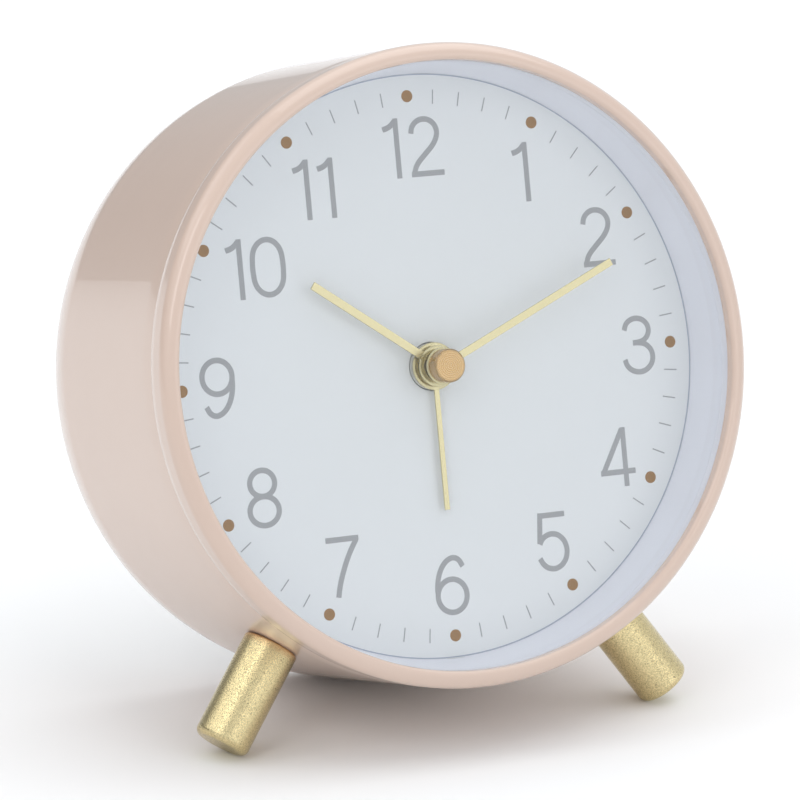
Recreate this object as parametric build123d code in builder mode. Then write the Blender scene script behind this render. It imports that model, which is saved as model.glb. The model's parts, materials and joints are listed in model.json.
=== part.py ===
from build123d import *
import os
from math import acos, asin, cos, degrees, pi, radians, sin, sqrt, tan

# Round bedside alarm clock with a quartz movement, leaning back on two turned legs.
# Millimetres, +Z up. The origin is on the table, under the middle of the clock's box.
#
# Most pieces are drawn on the dial plane: u to the right, v up the dial, and w out of the
# dial towards the person who reads it. w = 0 is the printed face of the dial.

# ---------------------------------------------------------------- case
drum_r = 44.9            # painted steel drum, outside
drum_wall = 0.8
bead_r = 45.0            # rolled front rim, outside
rim_front = 10.65        # w of the foremost point of the rim
rim_round = 1.9          # outer rounding of the rim, and the inner one takes what is left
lip_r = 42.5             # opening in the rim
case_depth = 45.0        # foremost point of the rim to the rear edge
groove_w = 5.6           # shallow groove, where the rim is pressed into the drum
groove_depth = 0.12
groove_reach = 1.7       # from the groove's bottom to where the drum is straight again
crown_w = -26.6          # where the side starts to curve in towards the back
crown_round = 18.9
edge_round = 1.5         # tight rounding of the rear edge
flange_width = 1.3       # flat ring round the rear opening
skirt_r = 43.3           # inside of the rim's skirt, which holds lens and spacer
skirt_w = 2.5
lens_seat = 8.9
drum_inner = drum_r - drum_wall
stack_gap = 0.1          # lens, spacer and dial in the case, radially

lens_thick = 1.6
spacer_top_r = 42.4
spacer_dial_r = 41.2
spacer_notch = (-1.7, 1.0)
dial_thick = 0.5
dial_hole_r = 3.45
carrier_r = 39.5
carrier_thick = 1.9

# ---------------------------------------------------------------- legs
leg_angle = radians(35.3)    # to each side of straight down the dial
leg_w = -5.4
leg_r = 4.0
leg_reach = 60.7             # tip face, from the case's centre line
leg_tip_round = 1.0
leg_top_chamfer = 0.35
leg_screw_r = 1.95
leg_bore_r = 2.0
leg_screw_reach = 9.0        # how far the screw goes into the leg
leg_hole_r = 2.15
washer_r = 4.0
washer_thick = 0.8
leg_head_r = 3.4
leg_head_high = 2.4
leg_slot_wide, leg_slot_deep = 0.8, 1.3
leg_bore_spare = 0.5         # bore beyond the end of the screw

# ---------------------------------------------------------------- hands
minute_angle = -66.0         # degrees from 12, clockwise is negative
hour_angle = 54.5
alarm_angle = 180.0
hand_thick = 0.3
alarm_hand_w = 0.9           # rear face of each blade
hour_hand_w = 2.1
minute_hand_w = 3.9
cap_r = 2.36
cap_top = 6.4
cap_chamfer, cap_socket, cap_grip = 0.25, 1.3, 1.2
arbor_r = 0.9
hour_bore, hour_pipe_r = 0.96, 1.6
alarm_bore, alarm_pipe_r = 1.66, 2.3
boss_bore, boss_r = 2.36, 3.3

# ---------------------------------------------------------------- movement
box_half = 28.0              # square movement box, half its side
box_wall = 1.5
box_corner = 2.5
plate_front = -2.4           # front plate, from the carrier's back
plate_thick = 1.6
box_back = -25.0
middle_w, middle_thick = -10.5, 1.2
bridge_w, bridge_thick = -18.2, 1.2
board_w, board_thick = -20.6, 1.0
pillar_r = 2.2
pillars = [(-23.0, 23.0), (23.0, 23.0), (-23.0, -6.5), (23.0, -6.5)]
long_screw_r = 0.9
long_hole_r = 1.0
ears = [(-30.7, 8.0), (30.7, 8.0), (-30.7, -8.0), (30.7, -8.0)]
ear_r = 2.8

bay_top = -9.5               # wall between the wheels and the battery, its upper face
bay_wall = 1.2
bay_floor = -8.3
bay_half_u = 26.3
bay_low, bay_high = -26.4, -10.9
door_gap = 0.25
door_thick = 1.3
cell_r, cell_length = 7.25, 50.5
cell_v, cell_w = -18.6, -16.2

# ---------------------------------------------------------------- wheels
pressure = radians(25)
addendum, dedendum = 0.8, 1.05
backlash = 0.10
hour_module, minute_module, train_module = 0.36, 0.45, 0.2
wheel_thick = 0.8
pivot_r, pivot_bore = 0.35, 0.42

cannon_teeth, minute_wheel_teeth = 12, 36
carry_teeth, hour_teeth = 12, 48
alarm_pinion_teeth, alarm_teeth = 20, 48
rotor_teeth, intermediate_teeth, seconds_teeth, third_teeth, centre_teeth = 10, 50, 60, 75, 80
small_pinion = 10

minute_wheel_bearing = 160.0     # degrees, direction of each mesh
alarm_knob_bearing = 20.0
third_bearing = 90.0
seconds_bearing = 30.0
intermediate_bearing = 100.0
rotor_bearing = 175.0

knob_r = 4.5
knob_front, knob_back = -26.0, -31.5
knob_round = 0.8
knob_grooves, knob_groove_r = 18, 0.42
knob_groove_out = 0.15       # centres of the grooves, outside the knob
switch_at = (20.0, 12.0)
switch_travel = 3.0
sounder_at, sounder_r = (2.5, 17.0), 8.5

# ---------------------------------------------------------------- how it stands
crown_turn = asin((case_depth - rim_front + crown_w - edge_round) / (crown_round - edge_round))
crown_centre_r = drum_r - crown_round
edge_r = crown_centre_r + (crown_round - edge_round) * cos(crown_turn)
edge_w = rim_front - case_depth + edge_round


def leg_low(lean):
    """How far the lowest point of a leg tip lies below the dial's centre."""
    down = cos(leg_angle) * cos(lean)
    return ((leg_reach - leg_tip_round) * down - leg_w * sin(lean)
            + (leg_r - leg_tip_round) * sqrt(1 - down ** 2) + leg_tip_round)


def drum_low(lean):
    """The same for the crowned lower back of the drum."""
    return crown_centre_r * cos(lean) - crown_w * sin(lean) + crown_round


def resting_lean():
    """The lean at which both leg tips and the drum touch the table."""
    upright, flat = 0.0, radians(45)
    while flat - upright > 1e-9:
        lean = (upright + flat) / 2
        if leg_low(lean) > drum_low(lean):
            upright = lean
        else:
            flat = lean
    return lean


lean = resting_lean()
dial_height = drum_low(lean)
front_reach = (bead_r - rim_round) * sin(lean) + (rim_front - rim_round) * cos(lean) + rim_round
back_reach = edge_r * sin(lean) - edge_w * cos(lean) + edge_round
dial_back = (front_reach - back_reach) / 2

face = Plane(origin=(0, dial_back, dial_height), x_dir=(1, 0, 0),
             z_dir=(0, -cos(lean), sin(lean)))
centre_line = Axis(face.origin, face.z_dir)
section = Plane(origin=face.origin, x_dir=face.x_dir, z_dir=-face.y_dir)   # radius, w


def at(w):
    """Plane parallel to the dial."""
    return face.offset(w)


def leg_plane(side, distance):
    """Plane across a leg's axis, that far from the case's centre line."""
    out = face.x_dir * (side * sin(leg_angle)) - face.y_dir * cos(leg_angle)
    return Plane(origin=at(leg_w).origin + out * distance, x_dir=face.z_dir, z_dir=out)


def polar(radius, degrees_round):
    """Point on the dial plane."""
    return radius * cos(radians(degrees_round)), radius * sin(radians(degrees_round))


def beyond(start, radius, degrees_round):
    """Point a distance away from another one, in a direction."""
    step = polar(radius, degrees_round)
    return start[0] + step[0], start[1] + step[1]


def finish(piece, label):
    """Name a finished piece and write it."""
    piece.part.label = label
    export_step(piece.part, f"parts/{label}.step")


os.makedirs("parts", exist_ok=True)


# ================================================================ toothed wheels
def gear(teeth, module, turn):
    """Outline of a spur gear round the origin, with one tooth centred on turn degrees."""
    pitch = teeth * module / 2
    base = pitch * cos(pressure)
    tip = pitch + addendum * module
    root = pitch - dedendum * module
    start = max(base, root)
    over = tip + module

    def flank(radius):
        """Angle from the middle of a gap to the tooth's side, in degrees."""
        slope = acos(min(1.0, base / radius))
        tooth = (pi / 2 - backlash) / teeth + tan(pressure) - pressure - (tan(slope) - slope)
        return degrees(pi / teeth - tooth)

    middle = (start + tip) / 2
    with BuildSketch(mode=Mode.PRIVATE) as gap:
        with BuildLine():
            lower = ThreePointArc(*(polar(r, -flank(r)) for r in (start, middle, tip)))
            out = Line(lower @ 1, polar(over, -flank(tip)))
            across = ThreePointArc(out @ 1, (over, 0), polar(over, flank(tip)))
            back = Line(across @ 1, polar(tip, flank(tip)))
            upper = ThreePointArc(back @ 1, polar(middle, flank(middle)), polar(start, flank(start)))
            if start > root:
                inward = Line(upper @ 1, polar(root, flank(start)))
                floor = ThreePointArc(inward @ 1, (root, 0), polar(root, -flank(start)))
                Line(floor @ 1, lower @ 0)
            else:
                ThreePointArc(upper @ 1, (root, 0), lower @ 0)
        make_face()
    with BuildSketch(mode=Mode.PRIVATE) as outline:
        Circle(tip)
        with PolarLocations(0, teeth, start_angle=turn + 180 / teeth):
            add(gap.sketch, mode=Mode.SUBTRACT)
    return outline.sketch


def tip_radius(teeth, module):
    return module * (teeth / 2 + addendum)


def in_mesh(turn, teeth, other_teeth, bearing):
    """Where the other wheel has a tooth, when this one has a tooth at turn."""
    return bearing + 180 - (turn - bearing) * teeth / other_teeth + 180 / other_teeth


def wheel_layer(centre, w, outline, thick=wheel_thick):
    """Extrude a gear outline between w and w + thick inside the open part block."""
    with BuildSketch(at(w)) as toothed:
        with Locations(centre):
            add(outline)
    extrude(toothed.sketch, amount=thick)


def disc_layer(centre, w, radius, thick, mode=Mode.ADD):
    """Extrude a round disc, or cut a round hole, inside the open part block."""
    with BuildSketch(at(w)) as disc:
        with Locations(centre):
            Circle(radius)
    extrude(disc.sketch, amount=thick, mode=mode)


centre = (0.0, 0.0)
motion_distance = minute_module * (cannon_teeth + minute_wheel_teeth) / 2
alarm_distance = hour_module * (alarm_pinion_teeth + alarm_teeth) / 2
minute_wheel_at = polar(motion_distance, minute_wheel_bearing)
alarm_knob_at = polar(alarm_distance, alarm_knob_bearing)
third_at = polar(train_module * (small_pinion + centre_teeth) / 2, third_bearing)
seconds_at = beyond(third_at, train_module * (small_pinion + third_teeth) / 2, seconds_bearing)
intermediate_at = beyond(
    seconds_at, train_module * (small_pinion + seconds_teeth) / 2, intermediate_bearing)
rotor_at = beyond(
    intermediate_at, train_module * (rotor_teeth + intermediate_teeth) / 2, rotor_bearing)
train_pivots = [third_at, seconds_at, intermediate_at, rotor_at]
knob_arbors = [minute_wheel_at, alarm_knob_at]


# ================================================================ case
with BuildPart() as case_drum:
    with BuildSketch(section):
        with BuildLine():
            groove_r = drum_r - groove_depth
            crown = JernArc((drum_r, crown_w), (0, -1), crown_round, -degrees(crown_turn))
            edge = JernArc(crown @ 1, crown % 1, edge_round, degrees(crown_turn) - 90)
            flange = Line(edge @ 1, (edge @ 1) - (flange_width, 0))
            turn_in = Line(flange @ 1, (flange @ 1) + (0, drum_wall))
            back = Line(turn_in @ 1, (edge_r, edge_w - edge_round + drum_wall))
            inner_edge = JernArc(
                back @ 1, (1, 0), edge_round - drum_wall, 90 - degrees(crown_turn))
            inner_crown = JernArc(
                inner_edge @ 1, inner_edge % 1, crown_round - drum_wall, degrees(crown_turn))
            inside = Line(inner_crown @ 1, (drum_inner, groove_w))
            mouth = Line(inside @ 1, (groove_r, groove_w))
            groove = TangentArc((drum_r, groove_w - groove_reach), mouth @ 1, tangent=(0, 1))
            Line(groove @ 0, crown @ 0)
        make_face()
    revolve(axis=centre_line)
    for side in (-1, 1):
        with BuildSketch(leg_plane(side, drum_inner - drum_wall)):
            Circle(leg_hole_r)
        extrude(amount=3 * drum_wall, mode=Mode.SUBTRACT)
finish(case_drum, "case_drum")

with BuildPart() as bezel_ring:
    with BuildSketch(section):
        with BuildLine():
            skirt = Polyline((skirt_r, lens_seat), (skirt_r, skirt_w), (drum_inner, skirt_w),
                             (drum_inner, groove_w), (groove_r, groove_w))
            swell = TangentArc((bead_r, groove_w + groove_reach), skirt @ 1, tangent=(0, -1))
            side_line = Line(swell @ 0, (bead_r, rim_front - rim_round))
            outer = JernArc(side_line @ 1, (0, 1), rim_round, 90)
            inner = JernArc(outer @ 1, (-1, 0), bead_r - lip_r - rim_round, 90)
            Polyline(inner @ 1, (lip_r, lens_seat), (skirt_r, lens_seat))
        make_face()
    revolve(axis=centre_line)
finish(bezel_ring, "bezel_ring")

with BuildPart() as lens:
    disc_layer(centre, lens_seat - lens_thick, skirt_r - stack_gap, lens_thick)
    chamfer(lens.edges().filter_by(GeomType.CIRCLE), length=0.2)
finish(lens, "lens")

spacer_high = lens_seat - lens_thick
with BuildPart() as spacer_ring:
    with BuildSketch(section):
        Polygon((spacer_dial_r, 0), (skirt_r - stack_gap, 0), (skirt_r - stack_gap, spacer_high),
                (spacer_top_r, spacer_high), align=None)
    revolve(axis=centre_line)
    notch_width = spacer_notch[1] - spacer_notch[0]
    with BuildSketch(at(0)):
        with Locations((sum(spacer_notch) / 2, -spacer_dial_r)):
            Rectangle(notch_width, 1.6)
    extrude(amount=0.5, mode=Mode.SUBTRACT)
finish(spacer_ring, "spacer_ring")

with BuildPart() as dial_plate:
    disc_layer(centre, -dial_thick, drum_inner - stack_gap, dial_thick)
    disc_layer(centre, -dial_thick, dial_hole_r, dial_thick, Mode.SUBTRACT)
finish(dial_plate, "dial_plate")

with BuildPart() as dial_carrier:
    disc_layer(centre, plate_front, carrier_r, carrier_thick)
    disc_layer(centre, plate_front, dial_hole_r, carrier_thick, Mode.SUBTRACT)
    with BuildSketch(at(plate_front)):
        with Locations(*ears):
            Circle(long_hole_r)
    extrude(amount=carrier_thick - 0.4, mode=Mode.SUBTRACT)
finish(dial_carrier, "dial_carrier")

# ================================================================ back of the case
cover_r = drum_inner - 0.2
cover_back, cover_thick = -25.0, 2.0
cover_front = cover_back + cover_thick
tab_w, tab_thick, tab_foot = cover_front, 0.8, 6.0
tab_angles = [22.5, 112.5, 202.5, 292.5]
tab_inner_r, tab_span = 39.2, 12.0
tab_screw_r = 41.2
tab_thread_r, cover_hole_r = 1.35, 1.5
box_gap = 0.3
post_r, post_ring = 2.0, 36.0
cover_screws_at = [polar(tab_screw_r, angle) for angle in tab_angles]

with BuildPart() as back_cover:
    disc_layer(centre, cover_back, cover_r, cover_thick)
    with BuildSketch(at(cover_back)):
        RectangleRounded(2 * (box_half + box_gap), 2 * (box_half + box_gap), box_corner)
        with Locations(*cover_screws_at):
            Circle(cover_hole_r)
    extrude(amount=cover_thick, mode=Mode.SUBTRACT)
    with BuildSketch(at(cover_front)):
        with PolarLocations(post_ring, 4):
            Circle(post_r)
    extrude(amount=plate_front - cover_front)
finish(back_cover, "back_cover")

with BuildPart() as cover_tabs:
    for angle in tab_angles:
        start = radians(angle - tab_span / 2)
        out = face.x_dir * cos(start) + face.y_dir * sin(start)
        with BuildSketch(Plane(origin=face.origin, x_dir=out, z_dir=out.cross(face.z_dir))):
            Polygon((tab_inner_r, tab_w), (drum_inner, tab_w), (drum_inner, tab_w + tab_foot),
                    (drum_inner - tab_thick, tab_w + tab_foot),
                    (drum_inner - tab_thick, tab_w + tab_thick), (tab_inner_r, tab_w + tab_thick),
                    align=None)
        revolve(axis=centre_line, revolution_arc=tab_span)
    with BuildSketch(at(tab_w)):
        with Locations(*cover_screws_at):
            Circle(tab_thread_r)
    extrude(amount=tab_thick, mode=Mode.SUBTRACT)
finish(cover_tabs, "cover_tabs")


head_round = 0.45            # of the head's height
recess_deep = 0.5
recess_long, recess_wide = 1.2, 0.24     # of the head's radius


def pan_screws(places, seat, head_r, head_high, shank_r, length):
    """Pan-head screws seen from the back, with a cross recess, heads behind w = seat."""
    with BuildSketch(at(seat - head_high)) as heads:
        with Locations(*places):
            Circle(head_r)
    extrude(heads.sketch, amount=head_high)
    fillet(edges().group_by(centre_line)[0], radius=head_high * head_round)
    with BuildSketch(at(seat)) as shanks:
        with Locations(*places):
            Circle(shank_r)
    extrude(shanks.sketch, amount=length)
    with BuildSketch(at(seat - head_high)) as recesses:
        with Locations(*places):
            Rectangle(head_r * recess_long, head_r * recess_wide)
            Rectangle(head_r * recess_wide, head_r * recess_long)
    extrude(recesses.sketch, amount=head_high * recess_deep, mode=Mode.SUBTRACT)


with BuildPart() as cover_screws:
    pan_screws(cover_screws_at, cover_back, head_r=2.6, head_high=1.6, shank_r=1.3,
               length=6.0)
finish(cover_screws, "cover_screws")

# ================================================================ legs
screw_seat = sqrt(drum_inner ** 2 - washer_r ** 2)
for side, name in ((-1, "left_leg"), (1, "right_leg")):
    with BuildPart() as leg:
        with BuildSketch(leg_plane(side, drum_r)):
            Circle(leg_r)
        extrude(amount=leg_reach - drum_r)
        rims = leg.edges().filter_by(GeomType.CIRCLE).sort_by(
            Axis(face.origin, leg_plane(side, 0).z_dir))
        chamfer(rims[0], length=leg_top_chamfer)
        fillet(rims[-1], radius=leg_tip_round)
        with BuildSketch(leg_plane(side, drum_r)):
            Circle(leg_bore_r)
        extrude(amount=leg_screw_reach, mode=Mode.SUBTRACT)
    finish(leg, name)

with BuildPart() as leg_washers:
    for side in (-1, 1):
        with BuildSketch(leg_plane(side, screw_seat - washer_thick)):
            Circle(washer_r)
            Circle(leg_hole_r, mode=Mode.SUBTRACT)
        extrude(amount=washer_thick)
finish(leg_washers, "leg_washers")

with BuildPart() as leg_screws:
    for side in (-1, 1):
        head_w = screw_seat - washer_thick
        with BuildSketch(leg_plane(side, head_w - leg_head_high)):
            Circle(leg_head_r)
        extrude(amount=leg_head_high)
        with BuildSketch(leg_plane(side, head_w)):
            Circle(leg_screw_r)
        extrude(amount=drum_r + leg_screw_reach - leg_bore_spare - head_w)
        with BuildSketch(leg_plane(side, head_w - leg_head_high)):
            Rectangle(leg_head_r * recess_long, leg_slot_wide)
            Rectangle(leg_slot_wide, leg_head_r * recess_long)
        extrude(amount=leg_slot_deep, mode=Mode.SUBTRACT)
finish(leg_screws, "leg_screws")


# ================================================================ hands
def hand(turn, width, reach, w, hub_r, collet_r, collet_low, bore):
    """Flat hand with a round hub, and a collet behind it that grips its pipe."""
    with BuildSketch(at(w)) as blade:
        Circle(hub_r)
        with PolarLocations(reach / 2, 1, start_angle=turn + 90):
            Rectangle(reach, width)
    extrude(blade.sketch, amount=hand_thick)
    disc_layer(centre, collet_low, collet_r, w - collet_low)
    disc_layer(centre, collet_low, bore, w + hand_thick - collet_low, Mode.SUBTRACT)


with BuildPart() as alarm_hand:
    hand(alarm_angle, width=0.75, reach=20.3, w=alarm_hand_w, hub_r=3.36, collet_r=2.9,
         collet_low=0.3, bore=alarm_pipe_r)
finish(alarm_hand, "alarm_hand")

with BuildPart() as hour_hand:
    hand(hour_angle, width=1.15, reach=22.2, w=hour_hand_w, hub_r=2.92, collet_r=2.5,
         collet_low=1.4, bore=hour_pipe_r)
finish(hour_hand, "hour_hand")

with BuildPart() as minute_hand:
    hand(minute_angle, width=1.08, reach=30.3, w=minute_hand_w, hub_r=2.6, collet_r=2.1,
         collet_low=2.8, bore=arbor_r)
finish(minute_hand, "minute_hand")

cap_seat = minute_hand_w + hand_thick
with BuildPart() as centre_cap:
    disc_layer(centre, cap_seat, cap_r, cap_top - cap_seat)
    chamfer(centre_cap.edges().filter_by(GeomType.CIRCLE).sort_by(centre_line)[-1],
            length=cap_chamfer)
    disc_layer(centre, cap_seat, arbor_r, cap_socket, Mode.SUBTRACT)
finish(centre_cap, "centre_cap")

# ================================================================ motion work
cannon_turn = 0.0
minute_wheel_turn = in_mesh(cannon_turn, cannon_teeth, minute_wheel_teeth, minute_wheel_bearing)
carry_turn = 0.0
hour_turn = in_mesh(carry_turn, carry_teeth, hour_teeth, minute_wheel_bearing + 180)
alarm_turn = 0.0
alarm_pinion_turn = in_mesh(alarm_turn, alarm_teeth, alarm_pinion_teeth, alarm_knob_bearing)
knob_arbor_end = knob_back + 1.5
front_pivot_w, front_pivot_r = plate_front - 0.6, 0.5
arbor_sink = 0.3             # how far an arbor's end sinks into its plate
motion_thick = 1.0           # wheels under the dial
cannon_w, cannon_thick = -8.9, 1.4
minute_wheel_w = -8.7
carry_w, carry_thick = minute_wheel_w + motion_thick, 1.9
hour_wheel_w = -7.0
alarm_wheel_w = -5.4
alarm_pinion_w, alarm_pinion_thick = -5.6, 1.4

with BuildPart() as minute_arbor:
    arbor_end = bridge_w + arbor_sink
    disc_layer(centre, arbor_end, arbor_r, cap_seat + cap_grip - arbor_end)
    wheel_layer(centre, cannon_w, gear(cannon_teeth, minute_module, cannon_turn), cannon_thick)
finish(minute_arbor, "minute_arbor")

with BuildPart() as minute_wheel:
    wheel_layer(minute_wheel_at, minute_wheel_w,
                gear(minute_wheel_teeth, minute_module, minute_wheel_turn), motion_thick)
    wheel_layer(minute_wheel_at, carry_w, gear(carry_teeth, hour_module, carry_turn), carry_thick)
    disc_layer(minute_wheel_at, knob_arbor_end, arbor_r, minute_wheel_w - knob_arbor_end)
    carry_front = carry_w + carry_thick
    disc_layer(minute_wheel_at, carry_front, front_pivot_r, front_pivot_w - carry_front)
finish(minute_wheel, "minute_wheel")

with BuildPart() as hour_wheel:
    wheel_layer(centre, hour_wheel_w, gear(hour_teeth, hour_module, hour_turn), motion_thick)
    hour_pipe_low, hour_pipe_top = hour_wheel_w + motion_thick, hour_hand_w + hand_thick
    disc_layer(centre, hour_pipe_low, hour_pipe_r, hour_pipe_top - hour_pipe_low)
    disc_layer(centre, hour_wheel_w, hour_bore, hour_pipe_top - hour_wheel_w, Mode.SUBTRACT)
finish(hour_wheel, "hour_wheel")

with BuildPart() as alarm_wheel:
    wheel_layer(centre, alarm_wheel_w, gear(alarm_teeth, hour_module, alarm_turn), motion_thick)
    alarm_pipe_low, alarm_pipe_top = alarm_wheel_w + motion_thick, alarm_hand_w + hand_thick
    disc_layer(centre, alarm_pipe_low, alarm_pipe_r, alarm_pipe_top - alarm_pipe_low)
    disc_layer(centre, alarm_wheel_w, alarm_bore, alarm_pipe_top - alarm_wheel_w, Mode.SUBTRACT)
finish(alarm_wheel, "alarm_wheel")

with BuildPart() as alarm_pinion:
    wheel_layer(alarm_knob_at, alarm_pinion_w,
                gear(alarm_pinion_teeth, hour_module, alarm_pinion_turn), alarm_pinion_thick)
    disc_layer(alarm_knob_at, knob_arbor_end, arbor_r, alarm_pinion_w - knob_arbor_end)
    pinion_front = alarm_pinion_w + alarm_pinion_thick
    disc_layer(alarm_knob_at, pinion_front, front_pivot_r, front_pivot_w - pinion_front)
finish(alarm_pinion, "alarm_pinion")


def knob(place):
    """Grooved setting knob, pressed on the back end of its arbor."""
    disc_layer(place, knob_back, knob_r, knob_front - knob_back)
    fillet(edges().filter_by(GeomType.CIRCLE).sort_by(centre_line)[0], radius=knob_round)
    with BuildSketch(at(knob_back)) as grooves:
        with Locations(place):
            with PolarLocations(knob_r + knob_groove_out, knob_grooves):
                Circle(knob_groove_r)
    extrude(grooves.sketch, amount=knob_front - knob_back, mode=Mode.SUBTRACT)
    disc_layer(place, knob_arbor_end, arbor_r, knob_front - knob_arbor_end, Mode.SUBTRACT)


with BuildPart() as time_set_knob:
    knob(minute_wheel_at)
finish(time_set_knob, "time_set_knob")

with BuildPart() as alarm_knob:
    knob(alarm_knob_at)
finish(alarm_knob, "alarm_knob")

# ================================================================ going train
centre_turn = 0.0
third_pinion_turn = in_mesh(centre_turn, centre_teeth, small_pinion, third_bearing)
seconds_pinion_turn = in_mesh(0.0, third_teeth, small_pinion, seconds_bearing)
intermediate_pinion_turn = in_mesh(0.0, seconds_teeth, small_pinion, intermediate_bearing)
rotor_pinion_turn = in_mesh(0.0, intermediate_teeth, rotor_teeth, rotor_bearing)
arbor_front, arbor_back = middle_w + middle_thick - arbor_sink, bridge_w + arbor_sink
layer_step = 1.4             # from each wheel of the train to the next
centre_wheel_w = -11.8
centre_hub_w, centre_hub_r, centre_hub_thick = -12.3, 1.34, 1.5
pinion_rise, pinion_thick = 1.2, 1.2
third_w = centre_wheel_w - layer_step
seconds_w = third_w - layer_step
intermediate_w = seconds_w - layer_step
hub_r, hub_past = 1.0, 0.2
rotor_pinion_w = -16.2
rotor_hub_w, rotor_hub_r, rotor_hub_thick = -13.0, 1.2, 2.2
magnet_w, magnet_r, magnet_thick = -12.6, 3.0, 1.6

with BuildPart() as centre_wheel:
    wheel_layer(centre, centre_wheel_w, gear(centre_teeth, train_module, centre_turn))
    disc_layer(centre, centre_hub_w, centre_hub_r, centre_hub_thick)
    disc_layer(centre, centre_hub_w, hour_bore, centre_hub_thick, Mode.SUBTRACT)
finish(centre_wheel, "centre_wheel")


def train_wheel(place, wheel_w, teeth, pinion_turn):
    """Wheel with a pinion on one thin arbor, between the middle plate and the bridge."""
    wheel_layer(place, wheel_w, gear(teeth, train_module, 0.0))
    wheel_layer(place, wheel_w + pinion_rise, gear(small_pinion, train_module, pinion_turn),
                pinion_thick)
    disc_layer(place, arbor_back, pivot_r, arbor_front - arbor_back)
    disc_layer(place, wheel_w - hub_past, hub_r, pinion_rise + 2 * hub_past)


with BuildPart() as third_wheel:
    train_wheel(third_at, third_w, third_teeth, third_pinion_turn)
finish(third_wheel, "third_wheel")

with BuildPart() as seconds_wheel:
    train_wheel(seconds_at, seconds_w, seconds_teeth, seconds_pinion_turn)
finish(seconds_wheel, "seconds_wheel")

with BuildPart() as intermediate_wheel:
    train_wheel(intermediate_at, intermediate_w, intermediate_teeth, intermediate_pinion_turn)
finish(intermediate_wheel, "intermediate_wheel")

with BuildPart() as rotor:
    wheel_layer(rotor_at, rotor_pinion_w, gear(rotor_teeth, train_module, rotor_pinion_turn),
                pinion_thick)
    disc_layer(rotor_at, arbor_back, pivot_r, arbor_front - arbor_back)
    disc_layer(rotor_at, rotor_hub_w, rotor_hub_r, rotor_hub_thick)
    disc_layer(rotor_at, magnet_w, magnet_r, magnet_thick)
finish(rotor, "rotor")

# ================================================================ motor
coil_at = (-16.0, 17.6)
coil_length, coil_r = 12.0, 2.7
core_wide, core_thick = 2.0, 0.8
bobbin_r, bobbin_flange = 1.7, 0.8
bobbin_slot = (2.1, 0.9)
winding_r, winding_gap = 2.5, 0.05
stator_w, stator_thick = -12.0, core_thick
stator_eye_r, stator_hole_r = 4.7, 3.4
stator_left = -18.5          # outer ends of both arms, past the coil
upper_arm_low, upper_arm_high = 23.8, 25.8
lower_arm_low, lower_arm_high = 9.2, 11.4
coil_w = stator_w + stator_thick / 2
coil_plane = Plane(origin=at(coil_w).origin + face.x_dir * coil_at[0]
                   + face.y_dir * (coil_at[1] - coil_length / 2),
                   x_dir=face.x_dir, z_dir=face.y_dir)

with BuildPart() as stator:
    with BuildSketch(at(stator_w)):
        with Locations(rotor_at):
            Circle(stator_eye_r)
        Polygon((stator_left, upper_arm_low), (-12.6, upper_arm_low), (-8.0, 22.6),
                (rotor_at[0], 22.6), (rotor_at[0], rotor_at[1] + stator_eye_r),
                (stator_left, upper_arm_high), align=None)
        Polygon((stator_left, lower_arm_low), (-12.5, lower_arm_low), (3.4, 17.6), (-1.5, 20.0),
                (-12.4, lower_arm_high), (stator_left, lower_arm_high), align=None)
        with Locations(coil_at):
            Rectangle(core_wide, coil_length + core_wide)
        with Locations(rotor_at):
            Circle(stator_hole_r, mode=Mode.SUBTRACT)
    extrude(amount=stator_thick)
finish(stator, "stator")

with BuildPart() as coil_bobbin:
    with BuildSketch(coil_plane):
        Circle(bobbin_r)
    extrude(amount=coil_length)
    for low in (0.0, coil_length - bobbin_flange):
        with BuildSketch(coil_plane.offset(low)):
            Circle(coil_r)
        extrude(amount=bobbin_flange)
    with BuildSketch(coil_plane):
        Rectangle(*bobbin_slot)
    extrude(amount=coil_length, mode=Mode.SUBTRACT)
finish(coil_bobbin, "coil_bobbin")

with BuildPart() as coil_winding:
    winding_start = bobbin_flange + winding_gap
    with BuildSketch(coil_plane.offset(winding_start)):
        Circle(winding_r)
        Circle(bobbin_r + winding_gap, mode=Mode.SUBTRACT)
    extrude(amount=coil_length - 2 * winding_start)
finish(coil_winding, "coil_winding")

# ================================================================ movement box
neck_in, neck_wide = 0.94, 3.8           # neck of each ear, as a share of its place, and across
ear_hole_r = 1.1
pillar_hole_deep = 4.0
socket_r, socket_deep = 0.58, 1.2        # for the front ends of the knob arbors
grille_hole_r = 0.8
grille_inner_r, grille_inner_holes = 3.2, 6
grille_outer_r, grille_outer_holes = 6.0, 12
switch_stem = (2.2, 3.0)
switch_play = 0.5
board_posts = [(-18, 8), (-18, 24), (14.5, 24.5)]
board_post_r = 1.4

with BuildPart() as movement_front_plate:
    with BuildSketch(at(plate_front - plate_thick)):
        RectangleRounded(2 * box_half, 2 * box_half, box_corner)
        for ear in ears:
            with Locations(ear):
                Circle(ear_r)
            with Locations((ear[0] * neck_in, ear[1])):
                Rectangle(neck_wide, 2 * ear_r)
    extrude(amount=plate_thick)
    disc_layer(centre, plate_front, boss_r, -plate_front)
    disc_layer(centre, plate_front - plate_thick, boss_bore, plate_thick - plate_front,
               Mode.SUBTRACT)
    with BuildSketch(at(middle_w + middle_thick)):
        with Locations(*pillars):
            Circle(pillar_r)
    extrude(amount=plate_front - plate_thick - middle_w - middle_thick)
    with BuildSketch(at(middle_w + middle_thick)):
        with Locations(*pillars):
            Circle(long_hole_r)
    extrude(amount=pillar_hole_deep, mode=Mode.SUBTRACT)
    with BuildSketch(at(plate_front - plate_thick)):
        with Locations(*ears):
            Circle(ear_hole_r)
    extrude(amount=plate_thick, mode=Mode.SUBTRACT)
    with BuildSketch(at(plate_front - plate_thick)):
        with Locations(*knob_arbors):
            Circle(socket_r)
    extrude(amount=socket_deep, mode=Mode.SUBTRACT)
finish(movement_front_plate, "movement_front_plate")

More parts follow.
